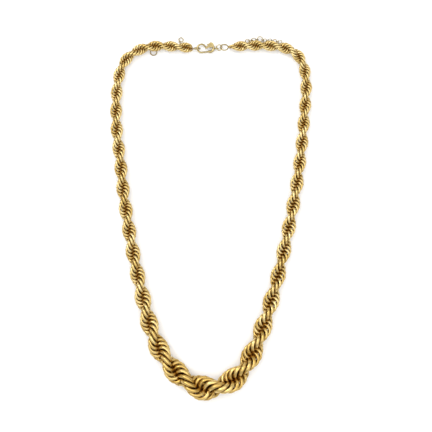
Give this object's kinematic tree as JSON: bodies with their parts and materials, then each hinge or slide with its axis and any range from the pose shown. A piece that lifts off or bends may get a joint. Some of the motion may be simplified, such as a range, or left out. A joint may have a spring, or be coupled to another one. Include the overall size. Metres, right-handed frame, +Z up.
{
  "type": "rope chain necklace",
  "caption": "Graduated rope chain necklace, clasped with a trigger clasp, thick twisted front that thins to the back, lying flat.",
  "frame": {"origin": "middle of the lying necklace's outline, on the surface it lies on", "axes": "+Y points from the thick front to the clasp, +Z up, +X to the right seen from above"},
  "size_m": [0.1013, 0.1825, 0.0125],
  "materials": {
    "rope_gold": "polished yellow gold, lightly worn",
    "pale_gold": "polished pale gold"
  },
  "bodies": {
    "necklace": {"rope_left": "rope_gold", "rope_right": "rope_gold", "end_ring_left": "pale_gold", "clasp_body": "pale_gold", "clasp_pin": "pale_gold", "jump_ring": "pale_gold", "end_ring_right": "pale_gold", "left_ring_upper": "pale_gold", "left_link_upper": "pale_gold", "left_ring_lower": "pale_gold", "safety_link_1": "pale_gold", "safety_link_2": "pale_gold", "safety_link_3": "pale_gold", "safety_link_4": "pale_gold", "safety_link_5": "pale_gold", "safety_link_6": "pale_gold", "safety_link_7": "pale_gold", "safety_link_8": "pale_gold", "safety_link_9": "pale_gold", "safety_link_10": "pale_gold", "safety_link_11": "pale_gold", "safety_link_12": "pale_gold", "safety_link_13": "pale_gold"},
    "lever": {"clasp_lever": "pale_gold"}
  },
  "joints": [
    {"name": "lever_pivot", "type": "hinge", "parent": "necklace", "child": "lever", "pos_m": [0.00059, 0.08689, 0.0012], "axis": [0, 0, 1], "range_deg": [0, 20], "stiffness_Nm_per_rad": 0.00002, "springref_deg": -11.46}
  ]
}
